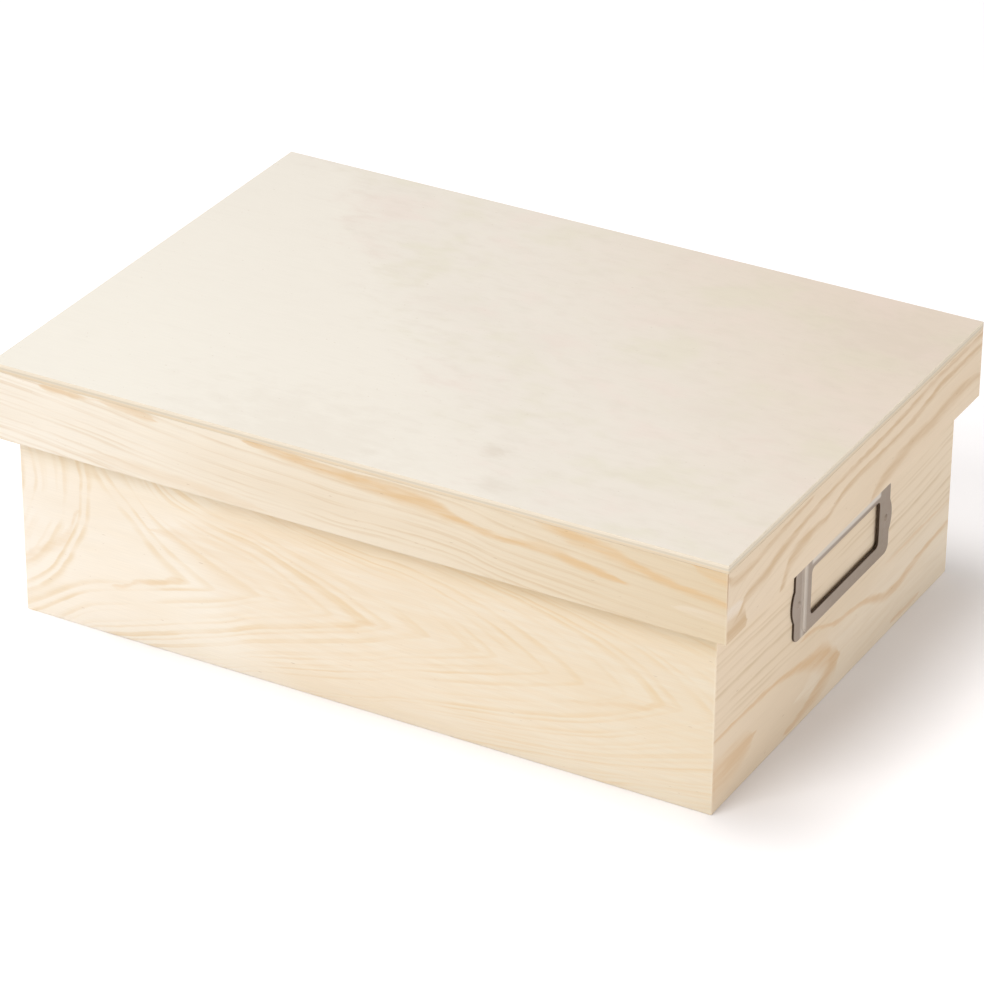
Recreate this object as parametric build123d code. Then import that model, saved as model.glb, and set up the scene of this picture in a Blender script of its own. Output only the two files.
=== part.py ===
from build123d import *
import os

# A photo box with a lift-off lid: mitred pine boards, plywood bottom and lid panels, and a pressed metal
# label holder pinned to the right-hand end. X runs along the box, Y from front to back and Z up, in
# millimetres. The origin is on the surface that the box stands on, under its middle.

# Space inside for prints and papers
inside_length = 328.0
inside_width = 220.0

# Walls of the box
wall_thickness = 8.0
wall_height = 122.6
wall_ease = 0.6

# Plywood of the bottom and of the lid's top
plywood_thickness = 3.6
panel_ease = 0.5

# Groove in the walls that holds the bottom
groove_height = 5.0
groove_depth = 4.0
groove_clearance = 0.2
groove_end_gap = 0.5

# Rails of the lid, outside the walls
rail_thickness = 7.0
rail_height = 33.7
rail_ease = 0.6
lid_clearance = 1.0
seam_ease = 0.2

# Label holder: one pressed sheet, a flange on the wood and a raised frame that a card slides behind
sheet_thickness = 1.1
card_gap = 1.2
window_width = 67.9
window_height = 22.8
window_corner = 2.5
side_lip = 5.6
foot_lip = 6.9
top_bar = 4.9
side_flange = 7.6
foot_flange = 1.6
raised_corner = 4.0
holder_corner = 4.0
ear_radius = 14.0
ear_reach = 2.4
bend_radius = 0.8
sheet_ease = 0.3
holder_top_gap = 6.9
holder_offset = 1.3

# Round-head pins of the label holder
pin_head_diameter = 3.4
pin_head_height = 0.7
pin_shank_diameter = 1.4
pin_point = 2.0
pin_hole_clearance = 0.05
pin_hole_spare = 0.3
pin_cover = 1.5

# Worked-out sizes
box_length = inside_length + 2 * wall_thickness
box_width = inside_width + 2 * wall_thickness
lid_length = box_length + 2 * (lid_clearance + rail_thickness)
lid_width = box_width + 2 * (lid_clearance + rail_thickness)
lid_edge_z = wall_height - rail_height

raised_width = window_width + 2 * side_lip
holder_width = raised_width + 2 * side_flange
foot_bar = foot_lip + foot_flange
holder_height = foot_bar + window_height + top_bar
window_rise = (foot_bar - top_bar) / 2
holder_stand = card_gap + sheet_thickness
holder_z = lid_edge_z - holder_top_gap - holder_height / 2
holder_plane = Plane(
    origin=(box_length / 2, holder_offset, holder_z),
    x_dir=(0, 1, 0),
    z_dir=(1, 0, 0),
)

pin_spacing = raised_width + side_flange
pin_hole_diameter = pin_shank_diameter + 2 * pin_hole_clearance
pin_hole_depth = wall_thickness - pin_cover
pin_length = sheet_thickness + pin_hole_depth - pin_hole_spare

on_base = (Align.CENTER, Align.CENTER, Align.MIN)


def slab(length, width, height, base_z):
    """A block centred on the Z axis that stands on base_z."""
    return Pos(0, 0, base_z) * Box(length, width, height, align=on_base)


def edges_at(block, z):
    """The edges of a block that lie at one height."""
    return block.edges().filter_by_position(Axis.Z, z, z)


def eased_slab(length, width, height, base_z, corner_ease, top_ease, foot_ease):
    """A block with its four corners, its top arris and its lower arris rounded."""
    block = slab(length, width, height, base_z)
    block = fillet(block.edges().filter_by(Axis.Z), corner_ease)
    block = fillet(edges_at(block, base_z + height), top_ease)
    return fillet(edges_at(block, base_z), foot_ease)


def ease_inner_rim(ring, face, ease):
    """A ring with the inner arris of one of its flat faces rounded."""
    return ring.fillet(ease, face.inner_wires()[0].edges())


def mitred_board(ring, length, width, reach, side):
    """The board on one side of a rectangular ring, cut at 45 degrees through the ring's corners."""
    x = length / 2
    y = width / 2
    corners = {
        "front": ((-x, -y), (x, -y)),
        "right": ((x, -y), (x, y)),
        "back": ((x, y), (-x, y)),
        "left": ((-x, y), (-x, -y)),
    }
    first, last = corners[side]
    inner_first, inner_last = [
        (px * (x - reach) / x, py * (y - reach) / y) for px, py in (first, last)
    ]
    plan = Polygon(first, last, inner_last, inner_first, align=None)
    box = ring.bounding_box()
    wedge = Pos(0, 0, box.min.Z) * extrude(plan, box.size.Z)
    return (ring & wedge).solid()


def wall_ring():
    """All four walls as one ring, with the groove for the bottom."""
    ring = eased_slab(box_length, box_width, wall_height, 0, wall_ease, wall_ease, wall_ease)
    ring -= slab(inside_length, inside_width, wall_height, 0)
    ring = ease_inner_rim(ring, ring.faces().sort_by(Axis.Z)[-1], wall_ease)
    groove_width = plywood_thickness + groove_clearance
    ring -= slab(
        inside_length + 2 * groove_depth,
        inside_width + 2 * groove_depth,
        groove_width,
        groove_height,
    )
    return ring


def bottom_panel():
    """The plywood bottom, lying on the lower side of the groove."""
    tongue = groove_depth - groove_end_gap
    return slab(inside_length + 2 * tongue, inside_width + 2 * tongue, plywood_thickness, groove_height)


def rail_ring():
    """All four rails of the lid as one ring that slips over the walls."""
    ring = eased_slab(lid_length, lid_width, rail_height, lid_edge_z, rail_ease, seam_ease, rail_ease)
    ring -= slab(
        lid_length - 2 * rail_thickness,
        lid_width - 2 * rail_thickness,
        rail_height,
        lid_edge_z,
    )
    return ease_inner_rim(ring, ring.faces().sort_by(Axis.Z)[0], rail_ease)


def lid_top_panel():
    """The plywood on the rails, flush with their outer faces, which rests on the walls."""
    return eased_slab(
        lid_length, lid_width, plywood_thickness, wall_height, rail_ease, panel_ease, seam_ease
    )


def pin_places():
    """Where the two pins go: the middles of the label holder's side flanges."""
    return [holder_plane * Pos(side * pin_spacing / 2, 0, 0) for side in (-1, 1)]


def holder_outline():
    """The label holder's outline: a rounded rectangle with a shallow ear at each side."""
    ear_place = holder_width / 2 + ear_reach - ear_radius
    outline = RectangleRounded(holder_width, holder_height, holder_corner)
    for side in (-1, 1):
        outline += Pos(side * ear_place, 0) * Circle(ear_radius)
    return outline


def pocket_shape(width, rise, corner, depth):
    """A block with its two lower corners rounded, from the holder's top edge down by its rise."""
    middle = holder_height / 2 - rise / 2
    block = Pos(0, middle, 0) * Box(width, rise, depth, align=on_base)
    lower = block.edges().filter_by(Axis.Z).group_by(Axis.Y)[0]
    return fillet(lower, corner)


def label_holder():
    """The pressed frame: flange on the wood, bend, raised lip round the window, slot open at the top."""
    flange = extrude(holder_outline(), sheet_thickness)
    flange = fillet(flange.faces().sort_by(Axis.Z)[-1].edges(), sheet_ease)

    raised_rise = holder_height - foot_flange
    raised = pocket_shape(raised_width, raised_rise, raised_corner, holder_stand)
    rim = raised.faces().sort_by(Axis.Z)[-1].edges().sort_by(Axis.Y)[:-1]
    raised = fillet(rim, bend_radius)

    pocket = pocket_shape(
        raised_width - 2 * sheet_thickness,
        raised_rise - sheet_thickness,
        raised_corner - sheet_thickness,
        card_gap,
    )
    window_plan = Pos(0, window_rise) * RectangleRounded(window_width, window_height, window_corner)
    window = extrude(window_plan, holder_stand)
    holder = flange + raised - pocket - window
    front = holder.faces().filter_by(Axis.Z).sort_by(Axis.Z)[-1]
    holder = fillet(front.inner_wires()[0].edges(), sheet_ease)
    for side in (-1, 1):
        hole = Cylinder(pin_hole_diameter / 2, sheet_thickness, align=on_base)
        holder -= Pos(side * pin_spacing / 2, 0, 0) * hole
    return holder_plane * holder.solid()


def label_pin():
    """A round-head pin along Z: the head's underside is at Z = 0 and the point is below."""
    head_radius = pin_head_diameter / 2
    shank_radius = pin_shank_diameter / 2
    dome = TangentArc((0, pin_head_height), (head_radius, 0), tangent=(1, 0))
    rest = Polyline(
        (head_radius, 0),
        (shank_radius, 0),
        (shank_radius, pin_point - pin_length),
        (0, -pin_length),
        (0, pin_head_height),
    )
    return revolve(Plane.XZ * make_face([dome, rest]), Axis.Z)


def label_holder_pins():
    """Both pins in their places, heads on the flange."""
    pin = Pos(0, 0, sheet_thickness) * label_pin()
    return Compound(children=[place * pin for place in pin_places()])


def pin_holes():
    """The holes for the pins in the right-hand end."""
    hole = Pos(0, 0, -pin_hole_depth) * Cylinder(pin_hole_diameter / 2, pin_hole_depth, align=on_base)
    return [place * hole for place in pin_places()]


walls = wall_ring()
rails = rail_ring()
nodes = {
    "front_wall": mitred_board(walls, box_length, box_width, 2 * wall_thickness, "front"),
    "back_wall": mitred_board(walls, box_length, box_width, 2 * wall_thickness, "back"),
    "left_end": mitred_board(walls, box_length, box_width, 2 * wall_thickness, "left"),
    "right_end": mitred_board(walls, box_length, box_width, 2 * wall_thickness, "right") - pin_holes(),
    "bottom_panel": bottom_panel(),
    "lid_front_rail": mitred_board(rails, lid_length, lid_width, 2 * rail_thickness, "front"),
    "lid_back_rail": mitred_board(rails, lid_length, lid_width, 2 * rail_thickness, "back"),
    "lid_left_rail": mitred_board(rails, lid_length, lid_width, 2 * rail_thickness, "left"),
    "lid_right_rail": mitred_board(rails, lid_length, lid_width, 2 * rail_thickness, "right"),
    "lid_top_panel": lid_top_panel(),
    "label_holder": label_holder(),
    "label_holder_pins": label_holder_pins(),
}

os.makedirs("parts", exist_ok=True)
for name, shape in nodes.items():
    export_step(shape, f"parts/{name}.step")
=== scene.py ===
import math
from dataclasses import dataclass, field

import bpy
from mathutils import Matrix, Vector


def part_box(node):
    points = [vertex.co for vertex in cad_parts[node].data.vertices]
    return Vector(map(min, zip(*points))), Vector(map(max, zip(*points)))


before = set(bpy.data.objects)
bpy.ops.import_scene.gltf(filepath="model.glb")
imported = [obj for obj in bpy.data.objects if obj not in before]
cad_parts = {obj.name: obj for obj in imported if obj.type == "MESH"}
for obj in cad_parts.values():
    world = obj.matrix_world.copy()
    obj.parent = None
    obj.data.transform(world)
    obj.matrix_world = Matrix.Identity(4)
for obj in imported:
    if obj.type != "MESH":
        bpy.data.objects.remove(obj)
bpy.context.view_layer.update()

# The looks of a pine photo box: every board has its own solid grain, worked out in millimetres from the
# board's own corner, so that the rings run on over its arrises. Lengths below are in millimetres unless a
# name says metres, and colours are written as 0 to 255 screen values.

mm = 0.001

# Places of the Mix node's sockets for the factor, the two colours and the mixed colour
mix_inputs = (0, 6, 7)
mix_output = 2

# The least rise of a curve, so that a flat one still has a scale
least_rise = 1e-6


def tone(red, green, blue):
    """A screen colour, 0 to 255, as the linear colour that shaders use, by the sRGB curve."""
    linear = []
    for value in (red, green, blue):
        share = value / 255
        linear.append(share / 12.92 if share <= 0.04045 else ((share + 0.055) / 1.055) ** 2.4)
    return (*linear, 1.0)


class Graph:
    """A material's node tree. Most calls add nodes to it and give back an output."""

    def __init__(self, name):
        self.material = bpy.data.materials.new(name)
        self.material.use_nodes = True
        self.tree = self.material.node_tree
        self.shader = self.tree.nodes["Principled BSDF"]

    def feed(self, socket, value):
        """Links an output to a socket, or sets a constant on the socket itself."""
        if isinstance(value, bpy.types.NodeSocket):
            self.tree.links.new(value, socket)
        else:
            socket.default_value = value

    def add(self, kind, **settings):
        node = self.tree.nodes.new("ShaderNode" + kind)
        for name, value in settings.items():
            setattr(node, name, value)
        return node

    def math(self, operation, *values, clamp=False):
        node = self.add("Math", operation=operation, use_clamp=clamp)
        for socket, value in zip(node.inputs, values):
            self.feed(socket, value)
        return node.outputs[0]

    def total(self, *values):
        result = values[0]
        for value in values[1:]:
            result = self.math("ADD", result, value)
        return result

    def product(self, *values):
        result = values[0]
        for value in values[1:]:
            result = self.math("MULTIPLY", result, value)
        return result

    def ease(self, value, start, end, low=0.0, high=1.0):
        """Goes smoothly from low to high as the value goes from start to end."""
        node = self.add("MapRange", interpolation_type="SMOOTHSTEP")
        for socket, given in zip(node.inputs, (value, start, end, low, high)):
            self.feed(socket, given)
        return node.outputs[0]

    def vector(self, x, y, z):
        node = self.add("CombineXYZ")
        for socket, value in zip(node.inputs, (x, y, z)):
            self.feed(socket, value)
        return node.outputs[0]

    def noise(self, position, detail=2.0, roughness=0.5):
        """Noise about one unit across, from 0 to 1."""
        node = self.add("TexNoise")
        self.feed(node.inputs["Vector"], position)
        self.feed(node.inputs["Scale"], 1.0)
        self.feed(node.inputs["Detail"], detail)
        self.feed(node.inputs["Roughness"], roughness)
        return node.outputs[0]

    def line_noise(self, value):
        """Noise along one number, about one unit across, from 0 to 1."""
        node = self.add("TexNoise", noise_dimensions="1D")
        self.feed(node.inputs["W"], value)
        self.feed(node.inputs["Scale"], 1.0)
        self.feed(node.inputs["Detail"], 1.0)
        return node.outputs[0]

    def chance(self, value):
        """A random number from 0 to 1 for each whole number."""
        node = self.add("TexWhiteNoise", noise_dimensions="1D")
        self.feed(node.inputs["W"], value)
        return node.outputs[0]

    def curve(self, value, points):
        """A smooth curve through given points (value, result)."""
        first, last = points[0][0], points[-1][0]
        results = [result for _, result in points]
        low, high = min(results), max(results)
        rise = max(high - low, least_rise)
        node = self.add("FloatCurve")
        mapping = node.mapping
        mapping.use_clip = False
        line = mapping.curves[0].points
        while len(line) < len(points):
            line.new(0.5, 0.5)
        for handle, (place, result) in zip(line, points):
            handle.location = ((place - first) / (last - first), (result - low) / rise)
            handle.handle_type = "AUTO_CLAMPED"
        mapping.update()
        share = self.math("DIVIDE", self.math("SUBTRACT", value, first), last - first, clamp=True)
        self.feed(node.inputs["Value"], share)
        return self.math("MULTIPLY_ADD", node.outputs[0], rise, low)

    def mix(self, amount, first, second, blend="MIX"):
        """A colour between two, or the first blended with the second."""
        node = self.add("Mix", data_type="RGBA", blend_type=blend, clamp_factor=True)
        for place, value in zip(mix_inputs, (amount, first, second)):
            self.feed(node.inputs[place], value)
        return node.outputs[mix_output]

    def shaded(self, colour, shade):
        """A colour times a number."""
        return self.mix(1.0, colour, self.vector(shade, shade, shade), "MULTIPLY")

    def place(self):
        """The frame's x, y and z at each point, in millimetres."""
        coordinates = self.add("TexCoord")
        scaled = self.add("VectorMath", operation="SCALE")
        self.feed(scaled.inputs[0], coordinates.outputs["Object"])
        self.feed(scaled.inputs["Scale"], 1 / mm)
        split = self.add("SeparateXYZ")
        self.feed(split.inputs[0], scaled.outputs[0])
        return list(split.outputs)

    def relief(self, height, depth):
        """Bumps the surface by a height from 0 to 1, as deep as said in millimetres."""
        node = self.add("Bump")
        self.feed(node.inputs["Strength"], 1.0)
        self.feed(node.inputs["Distance"], depth * mm)
        self.feed(node.inputs["Height"], height)
        self.feed(self.shader.inputs["Normal"], node.outputs[0])

    def surface(self, **values):
        """Sets or links the shader's own inputs, named with _ for spaces."""
        for name, value in values.items():
            self.feed(self.shader.inputs[name.replace("_", " ")], value)


@dataclass
class Flow:
    """Rings about a line: the line's height along the board, the rings gained along the line, and the rings
    gained with height above it."""

    line: list
    along: list
    above: list

    def rings(self, graph, along, level):
        height = graph.math("SUBTRACT", level, graph.curve(along, self.line))
        return graph.total(graph.curve(along, self.along), graph.curve(height, self.above))


@dataclass
class Limbs:
    """Rings that are the limbs of Vs on one side of an axis: the axis's height along the board, the rings
    along the axis, where the tips are, the rings along the board where the limbs end, and the share of the
    way from the ends to the tips at each height above the axis."""

    axis: list
    tips: list
    ends: list
    share: list

    def rings(self, graph, along, level):
        height = graph.math("SUBTRACT", level, graph.curve(along, self.axis))
        ends = graph.curve(along, self.ends)
        rise = graph.math("SUBTRACT", graph.curve(along, self.tips), ends)
        return graph.math("MULTIPLY_ADD", rise, graph.curve(height, self.share), ends)


@dataclass
class Knot:
    """A knot that the rings bend round: its middle, the radius of ring 0, the ring spacing and how far the
    rings stray."""

    along: float
    up: float
    radius: float
    spacing: float
    stray: float


@dataclass
class Streak:
    """A broad ring or a patch: its middle and its half width along the board, how strong it is, and its
    colour where that isn't the board's amber."""

    middle: list
    half_width: list
    strength: float = 1.0
    colour: tuple = None


@dataclass
class Board:
    """A pine board. Places are along it from its left end, seen from outside, and up from its foot.

    The rings are the highest of its flows and its knot's, and none is lower than the innermost, if one is
    given. Strengths are those of the clear rings, by number; without them they are left to chance. Between
    two clear rings there are fine ones. Calm gives how clear both are at each height. Early wood has one
    colour at the left end and another at the right, and the change between them is partly painted light, a
    fall-off of the light along the board. Wander is how far the rings stray. Under-lid shade gives how
    strong the painted shade under the lid's edge is at each height. The glue line gives the heights over
    which the glue in the mitres comes into view.
    """

    node: str
    side: str
    seed: float
    flows: list
    early_left: tuple
    early_right: tuple
    late: tuple
    amber: tuple
    knot: Knot = None
    innermost: float = None
    strengths: list = None
    calm: list = None
    under_lid_shade: list = None
    contrast: float = 1.0
    fine_strength: float = 0.3
    wander: float = 1.6
    streaks: list = field(default_factory=list)
    glue_line: tuple = None


pine_fleck = tone(150, 108, 66)
pine_glue = tone(160, 122, 90)
# Paler wood: partly wear and partly painted highlight along the corner arrises, and painted light low on
# the right end
pine_wear_and_painted_light = tone(244, 235, 219)
pine_pale = tone(236, 228, 220)
wood_specular = 0.3

# Wood in the painted shade under the lid's edge keeps these shares of its red, green and blue
pine_under_lid_shade = (0.945, 0.895, 0.795, 1.0)

# How far each kind of noise is drawn out along the grain and across it, and the detail of the last two
wander_grain = (90, 20)
ripple_grain = (15, 4.5)
warm_grain = (130, 22)
patch_grain = (46, 14)
ragged_grain = (8, 1.6)
mottle_grain = (30, 3.0)
under_lid_shade_grain = (70, 16)
fibre_grain = (16, 0.42, 3.0)
fleck_grain = (4.2, 0.5, 0.0)

# Ramps: the range of the noise or length that they read, then what they give at its start and at its end
patch_ramp = (0.32, 0.66, 0.3, 1.0)
warm_ramp = (0.4, 0.75, 0.0, 0.2)
mottle_ramp = (0.3, 0.62, 0.5, 1.0)
under_lid_shade_ramp = (0.3, 0.65, 0.55, 1.0)
fleck_ramp = (0.86, 0.885, 0.0, 0.4)
pine_shade_ramp = (0.25, 0.75, 0.975, 1.02)
pine_roughness_ramp = (0.2, 0.8, 0.58, 0.74)
arris_wear_and_highlight_ramp = (0.3, 0.9, 0.12, 0.0)
outer_face_ramp = (0.5, 2.0, 1.0, 0.0)
glue_ramp = (0.1, 0.35, 0.5, 0.0)

# How far the grain strays up and down, and how much it falls with depth
ripple_reach = 1.2
ragged_reach = 2.4
depth_slant = 0.35

# How softly rings meet, in rings, and how unevenly they are spaced
flow_blend = 0.3
knot_blend = 0.5
knot_swirl = 24
uneven_pace = 0.45
uneven_reach = 0.3

# Where in a ring its darkest wood is, and how the fine rings lie between the clear ones
darkest_share = 0.9
fine_rings = 2.0
fine_offset = 0.35
innermost_fade = 0.5
weakest_clear = 0.5
weakest_fine = 0.15

# Steps that keep the noise of two boards apart
grain_seed_step = 17.3
uneven_seed_step = 3.7
clear_seed_step = 11
fine_seed_step = 23

# Ramps of a streak: its edges, in half widths from its middle, and the half widths over which it begins
streak_lower = (-1.7, -0.1, 0.0, 1.0)
streak_upper = (0.3, 1.4, 1.0, 0.0)
streak_start = (0.05, 0.7, 0.0, 1.0)
least_half_width = 0.02

# The relief of the wood, and the shares that the fibres and the late wood have in it
pine_relief = 0.05
fibre_share, late_share = 0.6, 0.4


def board_axes(graph, board):
    """Along the board, up it and into it from its outer face, with its length."""
    low, high = [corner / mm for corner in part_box(board.node)]
    x, y, z = graph.place()
    runs = {
        "front": ((x, low.x), (y, low.y), high.x - low.x),
        "right": ((y, low.y), (high.x, x), high.y - low.y),
        "back": ((high.x, x), (high.y, y), high.x - low.x),
        "left": ((high.y, y), (x, low.x), high.y - low.y),
    }
    along, deep, length = runs[board.side]
    up = graph.math("SUBTRACT", z, low.z)
    return graph.math("SUBTRACT", *along), up, graph.math("SUBTRACT", *deep), length


def grain_noise(graph, board, axes, long, short, detail=2.0):
    """Noise that is drawn out along the grain."""
    along, up, deep = axes
    place = graph.vector(
        graph.math("MULTIPLY_ADD", along, 1 / long, board.seed * grain_seed_step),
        graph.math("DIVIDE", up, short),
        graph.math("DIVIDE", deep, short),
    )
    return graph.noise(place, detail)


def centred(graph, noise, size):
    """Noise about 0 that reaches half a size each way."""
    return graph.math("MULTIPLY", graph.math("SUBTRACT", noise, 0.5), size)


def distance(graph, first, second):
    """The length of the two sides' diagonal."""
    return graph.math("SQRT", graph.total(graph.product(first, first), graph.product(second, second)))


def knot_rings(graph, knot, along, level):
    """The rings round a knot, counted inwards from its ring 0."""
    across = graph.math("SUBTRACT", along, knot.along)
    above = graph.math("SUBTRACT", level, knot.up)
    place = [graph.math("DIVIDE", value, knot_swirl) for value in (along, level)]
    swirl = graph.noise(graph.vector(*place, 0.0))
    reach = graph.math("ADD", knot.radius, centred(graph, swirl, knot.stray))
    inward = graph.math("SUBTRACT", reach, distance(graph, across, above))
    return graph.math("DIVIDE", inward, knot.spacing)


def ring_count(graph, board, along, level):
    """The number of the ring that each point is in, with fractions."""
    rings = board.innermost
    for flow in board.flows:
        count = flow.rings(graph, along, level)
        rings = count if rings is None else graph.math("SMOOTH_MAX", count, rings, flow_blend)
    if board.knot:
        bent = knot_rings(graph, board.knot, along, level)
        rings = graph.math("SMOOTH_MAX", rings, bent, knot_blend)
    pace = graph.math("MULTIPLY_ADD", rings, uneven_pace, board.seed * uneven_seed_step)
    return graph.total(rings, centred(graph, graph.line_noise(pace), uneven_reach))


# How dark the late wood is through a ring, from its start to its end
clear_profile = [(0.0, 0.1), (0.4, 0.0), (0.66, 0.16), (0.81, 0.8), (0.89, 1.0), (0.95, 0.7), (1.0, 0.1)]
fine_profile = [(0.0, 0.2), (0.35, 0.0), (0.55, 0.2), (0.75, 0.85), (0.84, 1.0), (0.94, 0.65), (1.0, 0.2)]


def ring_lines(graph, turns, profile):
    """Late wood: it deepens through each ring and ends soon after its darkest."""
    return graph.curve(graph.math("FRACT", turns), profile)


def by_chance(graph, turns, seed, weakest):
    """A strength for each ring, so that no two are alike."""
    number = graph.math("ADD", graph.math("FLOOR", turns), seed)
    return graph.ease(graph.chance(number), 0.0, 1.0, weakest, 1.0)


def late_wood(graph, board, axes, rings):
    """The clear rings with the fine ones between them, which come and go along the grain."""
    _, up, _ = axes
    turns = graph.math("ADD", rings, darkest_share)
    if board.strengths:
        strength = graph.curve(graph.math("FLOOR", turns), board.strengths)
    else:
        strength = by_chance(graph, turns, board.seed * clear_seed_step, weakest_clear)
    clear = graph.product(ring_lines(graph, turns, clear_profile), strength)
    fine_turns = graph.math("MULTIPLY_ADD", turns, fine_rings, fine_offset)
    fine = graph.product(
        ring_lines(graph, fine_turns, fine_profile),
        by_chance(graph, fine_turns, board.seed * fine_seed_step, weakest_fine),
        board.fine_strength,
    )
    if board.innermost is not None:
        fine = graph.product(fine, graph.ease(rings, board.innermost, board.innermost + innermost_fade))
    patches = graph.ease(grain_noise(graph, board, axes, *patch_grain), *patch_ramp)
    if board.calm:
        patches = graph.product(patches, graph.curve(up, board.calm))
    return graph.product(graph.math("MAXIMUM", clear, fine), patches, board.contrast)


def streak_mask(graph, streak, along, level):
    """A broad ring along a given line, softer below than above."""
    half = graph.math("MAXIMUM", graph.curve(along, streak.half_width), least_half_width)
    height = graph.math("SUBTRACT", level, graph.curve(along, streak.middle))
    offset = graph.math("DIVIDE", height, half)
    lower = graph.ease(offset, *streak_lower)
    upper = graph.ease(offset, *streak_upper)
    there = graph.ease(half, *streak_start)
    return graph.product(lower, upper, there, streak.strength)


def paint_streaks(graph, board, axes, ripple, colour):
    """Lays the board's streaks over a colour, with ragged edges and a mottled middle."""
    along, up, _ = axes
    ragged = centred(graph, grain_noise(graph, board, axes, *ragged_grain), ragged_reach)
    level = graph.total(up, ripple, ragged)
    mottle = graph.ease(grain_noise(graph, board, axes, *mottle_grain), *mottle_ramp)
    for streak in board.streaks:
        band = graph.product(streak_mask(graph, streak, along, level), mottle)
        colour = graph.mix(band, colour, streak.colour or board.amber)
    return colour


def paint_wear_and_painted_light(graph, board, axes, length, colour):
    """Lays pale corners, partly wear and partly painted highlight, painted shade under the lid and the
    mitres' glue over a colour.
    """
    along, up, deep = axes
    from_end = graph.math("MINIMUM", along, graph.math("SUBTRACT", length, along))
    # Pale along the corner arrises: partly wear, partly a painted highlight
    arris_wear_and_highlight = graph.ease(graph.math("ADD", from_end, deep), *arris_wear_and_highlight_ramp)
    colour = graph.mix(arris_wear_and_highlight, colour, pine_wear_and_painted_light)
    # Painted shade under the lid's edge, uneven along the board
    if board.under_lid_shade:
        outer_face = graph.ease(deep, *outer_face_ramp)
        uneven = graph.ease(grain_noise(graph, board, axes, *under_lid_shade_grain), *under_lid_shade_ramp)
        under_lid_shade = graph.product(graph.curve(up, board.under_lid_shade), outer_face, uneven)
        colour = graph.mix(under_lid_shade, colour, pine_under_lid_shade, "MULTIPLY")
    if board.glue_line:
        seam = graph.math("ABSOLUTE", graph.math("SUBTRACT", from_end, deep))
        joint = graph.product(graph.ease(seam, *glue_ramp), graph.ease(up, *board.glue_line))
        colour = graph.mix(joint, colour, pine_glue)
    return colour


def pine_material(board):
    """Sanded, unvarnished pine with this board's own figure."""
    graph = Graph("pine_" + board.node)
    along, up, deep, length = board_axes(graph, board)
    axes = (along, up, deep)
    wander = centred(graph, grain_noise(graph, board, axes, *wander_grain), board.wander)
    ripple = centred(graph, grain_noise(graph, board, axes, *ripple_grain), ripple_reach)
    level = graph.total(up, wander, ripple, graph.product(deep, depth_slant))
    late = late_wood(graph, board, axes, ring_count(graph, board, along, level))
    warm = graph.ease(grain_noise(graph, board, axes, *warm_grain), *warm_ramp)
    fibres = grain_noise(graph, board, axes, *fibre_grain)
    fleck = graph.ease(grain_noise(graph, board, axes, *fleck_grain), *fleck_ramp)

    # Early wood goes from the left end's colour to the right end's; the change is partly painted light, a
    # fall-off of the light along the board
    colour = graph.mix(graph.math("DIVIDE", along, length), board.early_left, board.early_right)
    colour = graph.mix(graph.math("MAXIMUM", late, warm), colour, board.late)
    colour = paint_streaks(graph, board, axes, ripple, colour)
    colour = graph.shaded(colour, graph.ease(fibres, *pine_shade_ramp))
    colour = graph.mix(fleck, colour, pine_fleck)
    colour = paint_wear_and_painted_light(graph, board, axes, length, colour)

    graph.surface(Base_Color=colour, Specular_IOR_Level=wood_specular)
    graph.surface(Roughness=graph.ease(fibres, *pine_roughness_ramp))
    height = graph.total(graph.product(fibres, fibre_share), graph.product(late, late_share))
    graph.relief(height, pine_relief)
    return graph.material


# The front wall is paler at its left end partly as painted light falling off from the left
front_left, front_right = tone(239, 231, 218), tone(227, 218, 199)
front_late, front_amber = tone(222, 198, 158), tone(222, 195, 156)
end_early, end_late, end_amber = tone(229, 211, 186), tone(206, 184, 150), tone(218, 187, 148)

# The front wall's nested Vs: the height of their axis, and the rings along it, whose tips lie on it
front_axis = [(0, 38), (86, 38), (123, 42), (179, 44.5), (206, 47), (283, 46), (322, 47), (344, 47)]
front_tips = [
    (0, -1.4), (60, -0.6), (86, 0), (123, 1), (151, 2), (179, 3), (206, 4), (232, 5), (258, 6), (283, 7),
    (303, 8), (322, 9), (344, 10),
]

# How strong the painted shade under the lid's edge is on the front wall at each height, most just below
# that edge
front_under_lid_shade = [(0, 0), (66, 0), (74, 0.25), (80, 0.7), (84, 1), (89, 1), (98, 0.4), (110, 0), (123, 0)]

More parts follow.
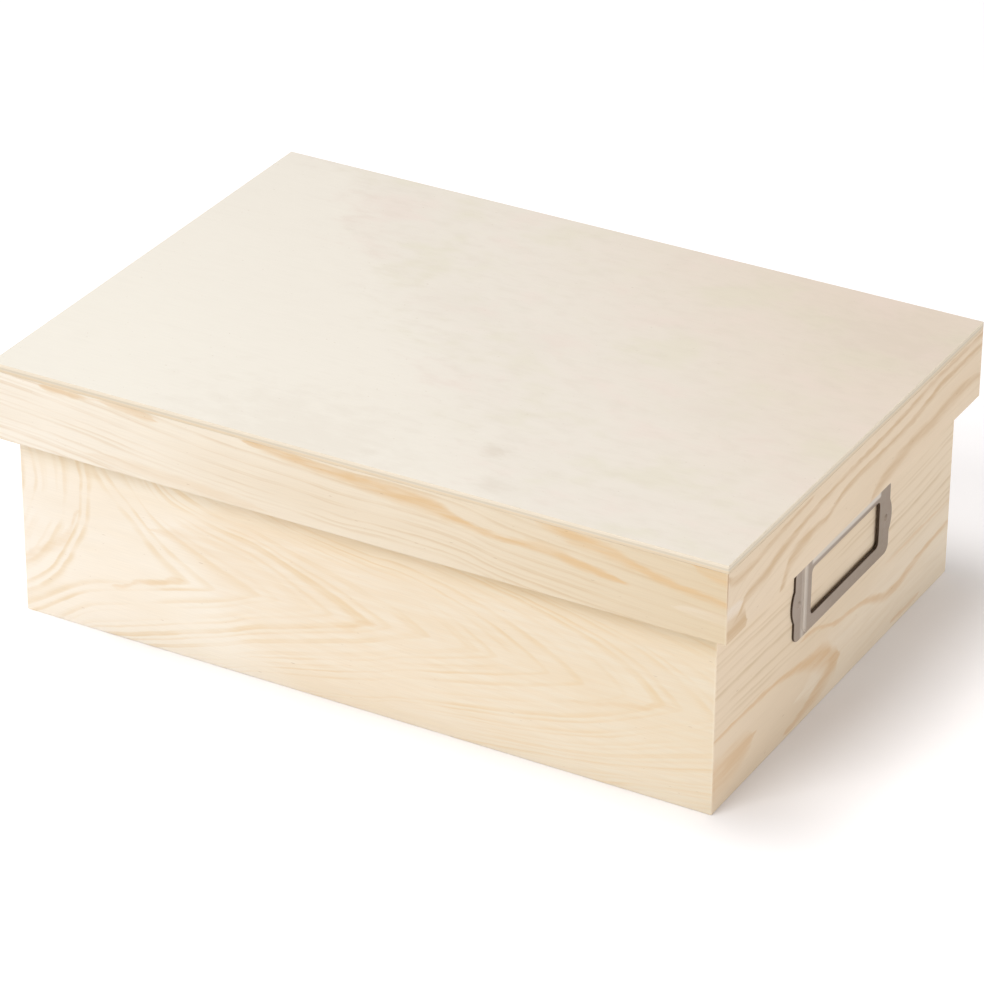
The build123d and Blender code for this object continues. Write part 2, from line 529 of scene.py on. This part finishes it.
boards = [
    Board(
        node="front_wall",
        side="front",
        seed=1.0,
        flows=[
            Limbs(
                front_axis,
                front_tips,
                [
                    (0, -2), (41, 0), (58, 1), (67, 2), (77, 3), (95, 4), (113, 5), (128, 6), (143, 7),
                    (170, 8), (200, 9), (230, 10), (260, 11), (300, 12.4), (344, 14),
                ],
                [
                    (-40, 1.5), (-10, 1.12), (0, 1), (10, 0.87), (20, 0.69), (30, 0.41), (40, 0),
                    (85, -1.6),
                ],
            ),
            Limbs(
                front_axis,
                front_tips,
                [
                    (0, 0.5), (12, 1.1), (24, 2), (35, 3), (60, 4.4), (80, 5.7), (99, 7), (148, 9),
                    (200, 11), (260, 13), (344, 16),
                ],
                [
                    (-48, -0.2), (-42, 0), (-32, 0.34), (-21, 0.61), (-10, 0.83), (0, 1), (10, 1.14),
                    (85, 2),
                ],
            ),
        ],
        early_left=front_left,
        early_right=front_right,
        late=front_late,
        amber=front_amber,
        knot=Knot(-35, 70, 70, 12.0, 5),
        innermost=-0.35,
        strengths=[
            (-1, 0), (0, 0.8), (1, 0.6), (2, 0.3), (3, 0.9), (4, 0.75), (5, 0.4), (6, 0.35), (7, 0.75),
            (8, 0.4), (9, 1), (10, 0.7), (11, 0.4), (12, 0.6), (13, 0.4), (14, 0.5), (16, 0.5),
        ],
        under_lid_shade=front_under_lid_shade,
        contrast=0.75,
        fine_strength=0.95,
        streaks=[
            Streak(
                [(0, 24), (40, 24.5), (60, 31.5), (74, 34.8), (84, 38.5), (344, 38.5)],
                [(0, 0), (38, 0), (48, 0.9), (60, 1.3), (74, 1.8), (82, 1.6), (88, 0), (344, 0)],
                0.45,
            ),
            Streak(
                [(0, 38), (160, 38.5), (172, 42), (182, 45), (344, 45)],
                [(0, 0), (152, 0), (164, 1.0), (174, 1.8), (180, 1.6), (186, 0), (344, 0)],
                0.4,
            ),
            Streak(
                [(0, 36), (270, 36), (296, 40), (312, 43), (324, 47), (344, 47)],
                [(0, 0), (262, 0), (280, 0.8), (300, 1.3), (318, 1.8), (328, 0), (344, 0)],
                0.4,
            ),
            Streak(
                [(0, 27), (8, 32), (25, 46), (34, 60), (344, 60)],
                [(0, 2.2), (10, 3.2), (24, 3.4), (32, 0), (344, 0)],
                0.35,
            ),
            Streak([(0, 60), (344, 60)], [(0, 0), (60, 0), (170, 80), (344, 80)], 0.33),
        ],
    ),
    Board(
        node="right_end",
        side="right",
        seed=2.0,
        flows=[
            Flow(
                [(0, 36), (60, 35), (120, 33), (180, 34), (236, 37)],
                [(0, 0), (236, 0)],
                [
                    (-40, -3), (0, 0), (6, 1), (13, 2), (21, 3), (28, 4), (34, 5), (41, 6), (54, 8),
                    (90, 13),
                ],
            ),
        ],
        early_left=end_early,
        early_right=tone(231, 215, 191),
        late=end_late,
        amber=end_amber,
        wander=3.0,
        calm=[(0, 0.12), (30, 0.14), (42, 0.9), (123, 1.0)],
        fine_strength=0.6,
        streaks=[
            # Painted light: the lower back of the end is made paler, against the shade from the shadowed
            # floor
            Streak([(0, 14), (236, 14)], [(0, 0), (70, 0), (130, 22), (236, 22)], 0.38, pine_wear_and_painted_light),
            Streak(
                [(0, 35.5), (52, 34.5), (71, 32), (95, 26), (110, 21), (121, 15), (236, 15)],
                [(0, 1.0), (45, 1.2), (70, 1.8), (95, 4.4), (112, 6.5), (120, 3.6), (126, 0), (236, 0)],
                0.9,
            ),
            Streak(
                [(0, 3), (70, 3), (82, 4.5), (100, 8), (112, 12), (121, 16), (236, 16)],
                [(0, 0), (62, 0), (72, 1.2), (90, 2.2), (110, 4.5), (120, 2.6), (126, 0), (236, 0)],
                0.8,
            ),
            Streak(
                [
                    (0, 42), (86, 42), (105, 38), (118, 33.5), (138, 31), (152, 27.6), (162, 23.5),
                    (177, 20.5), (194, 22.5), (211, 25), (236, 27),
                ],
                [
                    (0, 0), (70, 0.0), (90, 1.0), (140, 1.3), (165, 2.4), (190, 2.4), (215, 1.5),
                    (236, 1.3),
                ],
                0.75,
            ),
            Streak(
                [(0, 16), (36, 19), (50, 20), (236, 20)],
                [(0, 8.5), (18, 7.5), (34, 4.0), (46, 0), (236, 0)],
                0.75,
            ),
            Streak(
                [(0, 3.5), (236, 3.5)],
                [(0, 0), (172, 0), (182, 1.3), (200, 1.3), (210, 0), (236, 0)],
                0.6,
            ),
            Streak([(0, 38), (236, 38)], [(0, 0), (160, 0), (176, 0.9), (215, 0.8), (236, 0.6)], 0.5),
        ],
    ),
    Board(
        node="back_wall",
        side="back",
        seed=3.0,
        flows=[
            Flow(
                [(0, 66), (120, 60), (230, 70), (344, 74)],
                [(0, 4.5), (120, 2.2), (344, 0)],
                [
                    (-80, 14), (-40, 5.4), (-20, 1.9), (-6, 0.4), (0, 0), (6, 0.3), (20, 1.6),
                    (40, 4.6), (70, 11),
                ],
            ),
        ],
        early_left=front_right,
        early_right=front_left,
        late=front_late,
        amber=front_amber,
        wander=4.0,
    ),
    Board(
        node="left_end",
        side="left",
        seed=4.0,
        flows=[
            Flow(
                [(0, 92), (100, 84), (236, 80)],
                [(0, 0), (236, 3.2)],
                [(-95, 17), (-50, 7.4), (-20, 2.1), (-6, 0.4), (0, 0), (6, 0.4), (20, 2), (45, 6)],
            ),
        ],
        early_left=end_early,
        early_right=front_left,
        late=front_late,
        amber=front_amber,
        wander=4.0,
    ),
    Board(
        node="lid_front_rail",
        side="front",
        seed=5.0,
        flows=[
            Flow(
                [
                    (0, 30), (26, 28), (123, 18.5), (160, 16.5), (180, 15.4), (205, 16.2), (224, 16),
                    (257, 11), (300, 7.5), (360, 3.5),
                ],
                [(0, 0), (360, 0)],
                [(-40, -7), (0, 0), (15, 2.8), (40, 7)],
            ),
        ],
        early_left=tone(237, 230, 217),
        early_right=tone(215, 198, 169),
        late=tone(202, 173, 131),
        amber=tone(215, 185, 143),
        contrast=0.5,
        fine_strength=0.9,
        wander=3.0,
        streaks=[
            Streak(
                [
                    (0, 33), (128, 33), (154, 31.2), (180, 29.6), (200, 28.3), (218, 27.3), (231, 24.7),
                    (247, 21.7), (257, 21.1), (272, 22.1), (288, 19.6), (303, 17.5), (316, 16),
                    (360, 12),
                ],
                [
                    (0, 0), (122, 0), (132, 1.2), (154, 2.4), (180, 2.8), (200, 3.6), (218, 4.2),
                    (231, 2.6), (247, 1.6), (260, 1.6), (274, 2.4), (290, 2.2), (306, 1.8), (322, 0),
                    (360, 0),
                ],
                0.95,
            ),
            Streak(
                [
                    (0, 35), (266, 35), (290, 30.9), (306, 28.6), (319, 25.2), (334, 21.9), (350, 20.1),
                    (360, 18.8),
                ],
                [
                    (0, 0), (262, 0), (272, 2.2), (290, 3.4), (306, 3.2), (319, 2.4), (334, 2.0),
                    (360, 2.0),
                ],
                0.95,
            ),
            Streak(
                [(0, 35), (334, 35), (346, 32.6), (360, 30.6)],
                [(0, 0), (334, 0), (346, 1.8), (360, 3.2)],
                0.9,
            ),
            Streak(
                [(0, 32.4), (50, 32.4), (60, 33), (89, 31), (360, 31)],
                [
                    (0, 0), (22, 0), (32, 1.8), (44, 1.6), (54, 0.4), (66, 2.0), (82, 1.6), (92, 0),
                    (360, 0),
                ],
                0.65,
            ),
            Streak(
                [(0, 4), (70, 5), (150, 2), (360, 2)],
                [(0, 0), (38, 0), (60, 2.6), (100, 3.0), (130, 2.0), (155, 0), (360, 0)],
                0.25,
            ),
            Streak(
                [(0, 12), (360, 12)],
                [(0, 0), (326, 0), (340, 1.6), (352, 2.4), (360, 2.6)],
                0.2,
                pine_pale,
            ),
        ],
        glue_line=(8, 26),
    ),
    Board(
        node="lid_right_rail",
        side="right",
        seed=6.0,
        flows=[
            Flow(
                [(0, 4), (20, 14), (60, 21), (110, 24), (180, 28), (252, 30)],
                [(0, 0), (252, 0)],
                [(-40, -7), (0, 0), (40, 7)],
            ),
        ],
        early_left=end_early,
        early_right=end_early,
        late=end_late,
        amber=tone(208, 181, 146),
        contrast=0.3,
        streaks=[
            Streak(
                [(0, 31), (12.6, 27), (23, 27.3), (45, 29.5), (72, 31.3), (110, 33), (252, 33)],
                [(0, 1.8), (12, 2.2), (24, 1.6), (50, 1.4), (72, 1.0), (90, 0), (252, 0)],
                0.8,
            ),
            Streak(
                [
                    (0, 4), (12.6, 11), (18, 14.7), (36, 16.5), (45, 19.2), (59, 21.5), (81, 24.6),
                    (108, 26.4), (144, 27.3), (180, 29.5), (198, 30.9), (252, 31.8),
                ],
                [
                    (0, 0), (10, 0.6), (18, 2.4), (40, 2.8), (58, 2.0), (81, 1.5), (144, 1.4),
                    (198, 1.4), (252, 1.2),
                ],
                0.9,
            ),
            Streak(
                [
                    (0, -8), (46, -4), (50, 0), (54, 5.7), (59, 11), (68, 13.8), (79, 15), (90, 14.7),
                    (101, 16.9), (112, 20), (144, 20.5), (176, 21.5), (194, 23.7), (212, 26.4),
                    (252, 26.4),
                ],
                [
                    (0, 0), (46, 0.8), (52, 4.0), (60, 3.8), (72, 3.4), (84, 1.8), (100, 1.6),
                    (112, 1.8), (140, 1.5), (176, 1.6), (200, 1.7), (252, 1.5),
                ],
                0.9,
            ),
            Streak(
                [
                    (0, -6), (130, -4), (137, 0), (144, 4), (162, 8.4), (173, 10), (180, 11),
                    (198, 10.4), (212, 12), (234, 13), (252, 11),
                ],
                [
                    (0, 0), (130, 0), (140, 2.6), (160, 3.6), (180, 3.0), (212, 3.2), (240, 2.2),
                    (252, 1.4),
                ],
                0.8,
            ),
            Streak([(0, 14), (252, 14)], [(0, 3.0), (10, 2.6), (18, 0), (252, 0)], 0.45, pine_pale),
            Streak([(0, 3), (252, 3)], [(0, 7.5), (14, 7.0), (17, 5.0), (20, 0), (252, 0)], 1.0),
        ],
        glue_line=(8, 26),
    ),
    Board(
        node="lid_back_rail",
        side="back",
        seed=7.0,
        flows=[
            Flow([(0, 6), (200, 14), (360, 26)], [(0, 0), (360, 2)], [(-40, -6.5), (0, 0), (40, 6.5)]),
        ],
        early_left=front_right,
        early_right=front_left,
        late=front_late,
        amber=front_amber,
        wander=4.0,
    ),
    Board(
        node="lid_left_rail",
        side="left",
        seed=8.0,
        flows=[
            Flow(
                [(0, 22), (110, 16), (252, 9)],
                [(0, 2.4), (252, 0)],
                [(-40, 7), (-8, 0.7), (0, 0), (8, 0.7), (40, 7)],
            ),
        ],
        early_left=end_early,
        early_right=front_left,
        late=front_late,
        amber=front_amber,
        wander=4.0,
    ),
]


ply_face = tone(233, 229, 219)
ply_middle = tone(227, 221, 211)
ply_warm = tone(221, 208, 193)
ply_pink = tone(229, 211, 203)
ply_green = tone(217, 213, 190)
ply_smudge = tone(200, 188, 172)
ply_core = tone(206, 196, 177)
ply_edge = tone(224, 213, 194)
ply_lower = tone(218, 201, 174)


@dataclass
class Spot:
    """A smudge in a veneer: where it is from the panel's left front corner, its radius and its strength."""

    across: float
    back: float
    radius: float
    strength: float


lid_spots = [
    Spot(148, 152, 26, 0.09),
    Spot(166, 146, 18, 0.09),
    Spot(198, 135, 26, 0.09),
    Spot(231, 39, 11, 0.4),
    Spot(246, 12, 14, 0.3),
    Spot(186, 12, 12, 0.2),
    Spot(150, 10, 90, 0.14),
    Spot(294, 114, 30, 0.12),
    Spot(330, 215, 60, 0.2),
]


# How far each kind of noise is drawn out along the veneer's grain and across it, then its detail
cloud_veneer = (60, 45, 4.0)
figure_veneer = (110, 5.0, 3.0)
fibre_veneer = (15, 0.45, 2.0)
ragged_veneer = (14, 7, 4.0)
speck_veneer = (1.6, 1.1, 0.0)
hue_veneer = (48, 34, 3.0)
veneer_noise_roughness = 0.6

# The face turns from pale to warm along a slant from its left front corner, with a ragged border on the way
slant_across, slant_back = 0.74, 0.67
slant_reach = 60
border_reach = 60
border_grey = 0.4
border_ramp = (165, 205, 0.0, 1.0)
grey_ramp = (20, 220, 0.0, 0.6)
warm_face_ramp = (210, 430, 0.0, 1.0)

# Ramps of the veneer's noise
speck_ramp = (0.84, 0.87, 0.0, 0.5)
pink_ramp = (0.5, 0.7, 0.0, 0.3)
green_ramp = (0.5, 0.32, 0.0, 0.35)
figure_ramp = (0.5, 0.85, 0.0, 0.07)
stain_ramp = (0.42, 0.75, 0.0, 0.14)
stain_border_ramp = (0.0, 1.0, 0.2, 1.0)
ply_shade_ramp = (0.25, 0.75, 0.985, 1.012)
ply_roughness_ramp = (0.2, 0.8, 0.55, 0.7)

# A smudge is squeezed from front to back by the first, and its edge strays by the second times its radius
spot_squeeze = 1.4
spot_stray = 2.4

# Ramps of the edge: the plies and the painted seam shade by share of the thickness, and the rim by distance
# from the edge
core_foot_ramp = (0.34, 0.44, 0.0, 1.0)
core_top_ramp = (0.62, 0.72, 0.8, 0.0)
upper_plies_ramp = (0.3, 0.4, 0.0, 1.0)
seam_shade_ramp = (0.02, 0.18, 0.5, 0.0)
rim_ramp = (0.3, 0.8, 1.0, 0.0)
ply_relief = 0.025


def veneer_noise(graph, axes, seed, long, wide, detail):
    """Noise that is drawn out along the veneer's grain."""
    across, back, share = axes
    place = graph.vector(
        graph.math("MULTIPLY_ADD", across, 1 / long, seed),
        graph.math("DIVIDE", back, wide),
        graph.math("ADD", share, seed),
    )
    return graph.noise(place, detail, veneer_noise_roughness)


def veneer_face(graph, axes, seed, spots):
    """The sanded face: pale at its left front, warm at its right back, clouded and smudged."""
    across, back, _ = axes
    cloud = veneer_noise(graph, axes, seed, *cloud_veneer)
    figure = veneer_noise(graph, axes, seed, *figure_veneer)
    ragged = veneer_noise(graph, axes, seed, *ragged_veneer)
    hue = veneer_noise(graph, axes, seed, *hue_veneer)
    speck = graph.ease(veneer_noise(graph, axes, seed, *speck_veneer), *speck_ramp)

    slant = graph.total(
        graph.product(across, slant_across),
        graph.product(back, slant_back),
        centred(graph, cloud, slant_reach),
    )
    border = graph.ease(graph.total(slant, centred(graph, ragged, border_reach)), *border_ramp)
    grey = graph.total(graph.product(border, border_grey), graph.ease(slant, *grey_ramp))
    face = graph.mix(grey, ply_face, ply_middle)
    face = graph.mix(graph.ease(slant, *warm_face_ramp), face, ply_warm)
    face = graph.mix(graph.product(border, graph.ease(hue, *pink_ramp)), face, ply_pink)
    face = graph.mix(graph.product(border, graph.ease(hue, *green_ramp)), face, ply_green)

    mottle = graph.product(graph.ease(ragged, *stain_ramp), graph.ease(border, *stain_border_ramp))
    stain = graph.math("MAXIMUM", graph.ease(figure, *figure_ramp), mottle)
    for spot in spots:
        off_x = graph.math("SUBTRACT", across, spot.across)
        off_y = graph.math("MULTIPLY", graph.math("SUBTRACT", back, spot.back), spot_squeeze)
        stray = centred(graph, ragged, spot.radius * spot_stray)
        far = graph.total(distance(graph, off_x, off_y), stray)
        stain = graph.math("MAXIMUM", stain, graph.ease(far, 0.0, spot.radius, spot.strength, 0.0))
    return graph.mix(graph.math("MAXIMUM", stain, speck), face, ply_smudge)


def ply_layers(graph, share):
    """The three plies in the edge, the core darker, with a line of painted shade at the foot where it meets
    the rail.
    """
    core = graph.product(graph.ease(share, *core_foot_ramp), graph.ease(share, *core_top_ramp))
    # Painted shade along the seam at the foot of the edge
    seam_shade = graph.ease(share, *seam_shade_ramp)
    layers = graph.mix(graph.ease(share, *upper_plies_ramp), ply_lower, ply_edge)
    return graph.mix(graph.math("MAXIMUM", core, seam_shade), layers, ply_core)


def plywood_material(node, seed, spots):
    """Three-ply: pale sanded veneers, and a slightly darker core in the edge."""
    graph = Graph("plywood_" + node)
    low, high = [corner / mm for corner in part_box(node)]
    x, y, z = graph.place()
    across = graph.math("SUBTRACT", x, low.x)
    back = graph.math("SUBTRACT", y, low.y)
    share = graph.math("DIVIDE", graph.math("SUBTRACT", z, low.z), high.z - low.z)
    axes = (across, back, share)

    from_x = graph.math("SUBTRACT", high.x, graph.math("ABSOLUTE", x))
    from_y = graph.math("SUBTRACT", high.y, graph.math("ABSOLUTE", y))
    rim = graph.ease(graph.math("MINIMUM", from_x, from_y), *rim_ramp)
    colour = graph.mix(rim, veneer_face(graph, axes, seed, spots), ply_layers(graph, share))
    fibres = veneer_noise(graph, axes, seed, *fibre_veneer)
    colour = graph.shaded(colour, graph.ease(fibres, *ply_shade_ramp))

    graph.surface(Base_Color=colour, Specular_IOR_Level=wood_specular)
    graph.surface(Roughness=graph.ease(fibres, *ply_roughness_ramp))
    graph.relief(fibres, ply_relief)
    return graph.material


pewter = tone(163, 149, 136)
pewter_dark = tone(144, 129, 113)
# Bright pewter: a painted highlight on the fold and bends, and the top bar where cards rub it
pewter_highlight_and_rub = tone(222, 215, 205)
pewter_cut = tone(66, 50, 36)
pewter_metallic = 0.3

# Places on the label frame: its flange's face along x, its ends and its front fold along y, the part of its
# top bar that cards rub, and two corners in y and z that just hold its window
flange_top = 173.05
holder_ends = (-46.0, 49.0)
fold_place = -38.25
rub_start, rub_end = 78.6, 80.0
rub_middle, rub_half_width = 1.3, 34.0
rub_fade = 1.0
holder_window_low = (-33.0, 53.9)
holder_window_high = (35.6, 77.5)

# Sizes of the metal's noise along x, y and z, then its detail
mottle_metal = (12, 12, 12, 3.0)
rolled_metal = (0.3, 9, 0.3, 2.0)
metal_noise_roughness = 0.6

# Ramps and strengths of the metal's marks, among them the painted highlight beside the fold
dull_ramp = (0.3, 0.7, 0.0, 0.3)
back_end_darkening = 0.7
edge_on_ramp = (0.35, 0.8, 1.0, 0.0)
fold_highlight_ramp = (0.0, 2.6, 0.45, 0.0)
rub_strength = 0.75
pewter_roughness_ramp = (0.2, 0.8, 0.42, 0.56)
pewter_relief = 0.015
rolled_share, mottle_share = 0.5, 0.5


def metal_noise(graph, place, thick, long, high, detail):
    """Noise with its own size along each axis."""
    scaled = [graph.math("DIVIDE", value, size) for value, size in zip(place, (thick, long, high))]
    return graph.noise(graph.vector(*scaled), detail, metal_noise_roughness)


def sheet_edges(graph, place):
    """Two masks for the pressed sheet: its cut edges, at the outline and the window, and its bends, which
    get a painted highlight.
    """
    x, y, z = place
    geometry = graph.add("NewGeometry")
    split = graph.add("SeparateXYZ")
    graph.feed(split.inputs[0], geometry.outputs["Normal"])
    edge_on = graph.ease(graph.math("ABSOLUTE", split.outputs[0]), *edge_on_ramp)
    on_flange = graph.math("LESS_THAN", x, flange_top)
    in_window = graph.product(
        graph.math("GREATER_THAN", y, holder_window_low[0]),
        graph.math("LESS_THAN", y, holder_window_high[0]),
        graph.math("GREATER_THAN", z, holder_window_low[1]),
        graph.math("LESS_THAN", z, holder_window_high[1]),
    )
    is_cut = graph.math("MAXIMUM", on_flange, in_window)
    cut = graph.product(edge_on, is_cut)
    bend_highlight = graph.product(edge_on, graph.math("SUBTRACT", 1.0, is_cut))
    return cut, bend_highlight


def paint_pressing(graph, place, colour):
    """Lays a painted highlight beside the fold and on the bends, the top bar that cards rub and the dark
    cut edges over a colour.
    """
    _, y, z = place
    beside_fold = graph.math("ABSOLUTE", graph.math("SUBTRACT", y, fold_place))
    # Painted highlight beside the fold
    colour = graph.mix(graph.ease(beside_fold, *fold_highlight_ramp), colour, pewter_highlight_and_rub)
    off_middle = graph.math("ABSOLUTE", graph.math("SUBTRACT", y, rub_middle))
    on_bar = graph.ease(off_middle, rub_half_width - rub_fade, rub_half_width + rub_fade, 1.0, 0.0)
    rubbed = graph.product(graph.ease(z, rub_start, rub_end, 0.0, rub_strength), on_bar)
    colour = graph.mix(rubbed, colour, pewter_highlight_and_rub)
    cut, bend_highlight = sheet_edges(graph, place)
    # Painted highlight on the bends, then the dark cut edges
    colour = graph.mix(bend_highlight, colour, pewter_highlight_and_rub)
    return graph.mix(cut, colour, pewter_cut)


def pewter_material(name, pressed):
    """Satin pewter-grey metal, hardly mottled, with fine lines from rolling, and if it is pressed, marks
    and a painted highlight on its fold and bends.
    """
    graph = Graph(name)
    place = graph.place()
    _, y, _ = place
    mottle = metal_noise(graph, place, *mottle_metal)
    rolled = metal_noise(graph, place, *rolled_metal)
    # Darker in the mottle and towards the back end of the frame
    darkening = graph.total(graph.ease(mottle, *dull_ramp), graph.ease(y, *holder_ends, 0.0, back_end_darkening))
    colour = graph.mix(darkening, pewter, pewter_dark)
    if pressed:
        colour = paint_pressing(graph, place, colour)
    graph.surface(Base_Color=colour, Metallic=pewter_metallic)
    graph.surface(Roughness=graph.ease(rolled, *pewter_roughness_ramp))
    height = graph.total(graph.product(rolled, rolled_share), graph.product(mottle, mottle_share))
    graph.relief(height, pewter_relief)
    return graph.material


def dress(node, material):
    """Gives a node its one material."""
    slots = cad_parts[node].data.materials
    slots.clear()
    slots.append(material)


for board in boards:
    dress(board.node, pine_material(board))
dress("lid_top_panel", plywood_material("lid_top_panel", 2.0, lid_spots))
dress("bottom_panel", plywood_material("bottom_panel", 6.0, []))
dress("label_holder", pewter_material("pewter_holder", True))
dress("label_holder_pins", pewter_material("pewter_pins", False))


floor_white = tone(240, 239, 241)
floor_grey = tone(235, 234, 236)
floor_roughness = 0.8
floor_specular = 0.2
paper_size = 40
paper_detail = 3.0
paper_ramp = (0.2, 0.8, 0.0, 0.3)

# Painted light: the floor's glow, by distance from the rectangle where the shadow falls, least inside it
floor_painted_light_ramp = (15.0, 75.0, 0.09, 0.26)
shadow_middle = (40.0, -12.0)
shadow_half_size = (150.0, 88.0)
floor_size_metres = 12.0
floor_drop_metres = 0.0001


def floor():
    """White paper with painted light: it glows, least where the shadow falls, so that the glow shapes the
    shadow.
    """
    half = floor_size_metres / 2
    corners = [(-half, -half), (half, -half), (half, half), (-half, half)]
    mesh = bpy.data.meshes.new("floor")
    mesh.from_pydata([(x, y, -floor_drop_metres) for x, y in corners], [], [(0, 1, 2, 3)])
    plane = bpy.data.objects.new("floor", mesh)
    bpy.context.scene.collection.objects.link(plane)
    graph = Graph("floor")
    x, y, _ = graph.place()
    grain = [graph.math("DIVIDE", place, paper_size) for place in (x, y)]
    paper = graph.noise(graph.vector(*grain, 0.0), paper_detail)
    colour = graph.mix(graph.ease(paper, *paper_ramp), floor_white, floor_grey)
    graph.surface(Base_Color=colour, Roughness=floor_roughness, Specular_IOR_Level=floor_specular)
    outside = []
    for place, middle, half_size in zip((x, y), shadow_middle, shadow_half_size):
        off = graph.math("ABSOLUTE", graph.math("SUBTRACT", place, middle))
        outside.append(graph.math("MAXIMUM", graph.math("SUBTRACT", off, half_size), 0.0))
    # Painted light: a glow that rises with distance from the shadow's rectangle
    painted_glow = graph.ease(distance(graph, *outside), *floor_painted_light_ramp)
    graph.surface(Emission_Color=floor_white, Emission_Strength=painted_glow)
    plane.data.materials.append(graph.material)


@dataclass
class Softbox:
    """A square soft light that looks at the box, in metres and watts."""

    name: str
    place: tuple
    size: float
    watts: float


softboxes = [
    Softbox("key", (-0.44, -0.20, 2.90), 1.1, 33.0),
    Softbox("window", (-0.63, -2.15, 2.23), 1.4, 42.0),
    Softbox("card", (2.60, -0.70, 0.40), 1.6, 18.8),
]
sky_warm = tone(255, 249, 243)
sky_strength = 0.42
target_metres = Vector((0.0, 0.0, 0.06))


def studio():
    """Warm white surroundings, a light above the box, one in front of it and a weak card on the right."""
    world = bpy.data.worlds.new("studio")
    world.use_nodes = True
    background = world.node_tree.nodes["Background"]
    background.inputs["Color"].default_value = sky_warm
    background.inputs["Strength"].default_value = sky_strength
    bpy.context.scene.world = world
    for softbox in softboxes:
        lamp = bpy.data.lights.new(softbox.name, "AREA")
        lamp.shape = "SQUARE"
        lamp.size = softbox.size
        lamp.energy = softbox.watts
        light = bpy.data.objects.new(softbox.name, lamp)
        light.location = softbox.place
        light.rotation_mode = "QUATERNION"
        light.rotation_quaternion = (target_metres - Vector(softbox.place)).to_track_quat("-Z", "Y")
        bpy.context.scene.collection.objects.link(light)
    bpy.context.scene.view_settings.view_transform = "Standard"


camera_place_metres = (0.891605, -1.604527, 1.066105)
camera_azimuth = 29.0435
camera_elevation = 28.9519
camera_roll = 0.3861
picture_pixels = 984
focal_pixels = 4688.3
sensor_width = 36.0
camera_reach_metres = 50.0


def camera():
    """The photograph's view, from the front right and above, through a long lens."""
    azimuth, elevation, roll = [
        math.radians(angle) for angle in (camera_azimuth, camera_elevation, camera_roll)
    ]
    back = Vector((
        math.sin(azimuth) * math.cos(elevation),
        -math.cos(azimuth) * math.cos(elevation),
        math.sin(elevation),
    ))
    level = Vector((math.cos(azimuth), math.sin(azimuth), 0.0))
    rise = back.cross(level)
    right = level * math.cos(roll) + rise * math.sin(roll)
    up = rise * math.cos(roll) - level * math.sin(roll)
    data = bpy.data.cameras.new("camera")
    data.sensor_width = sensor_width
    data.lens = focal_pixels / picture_pixels * sensor_width
    data.clip_end = camera_reach_metres
    view = bpy.data.objects.new("camera", data)
    turn = Matrix((right, up, back)).transposed().to_4x4()
    view.matrix_world = Matrix.Translation(camera_place_metres) @ turn
    bpy.context.scene.collection.objects.link(view)
    bpy.context.scene.camera = view


floor()
studio()
camera()
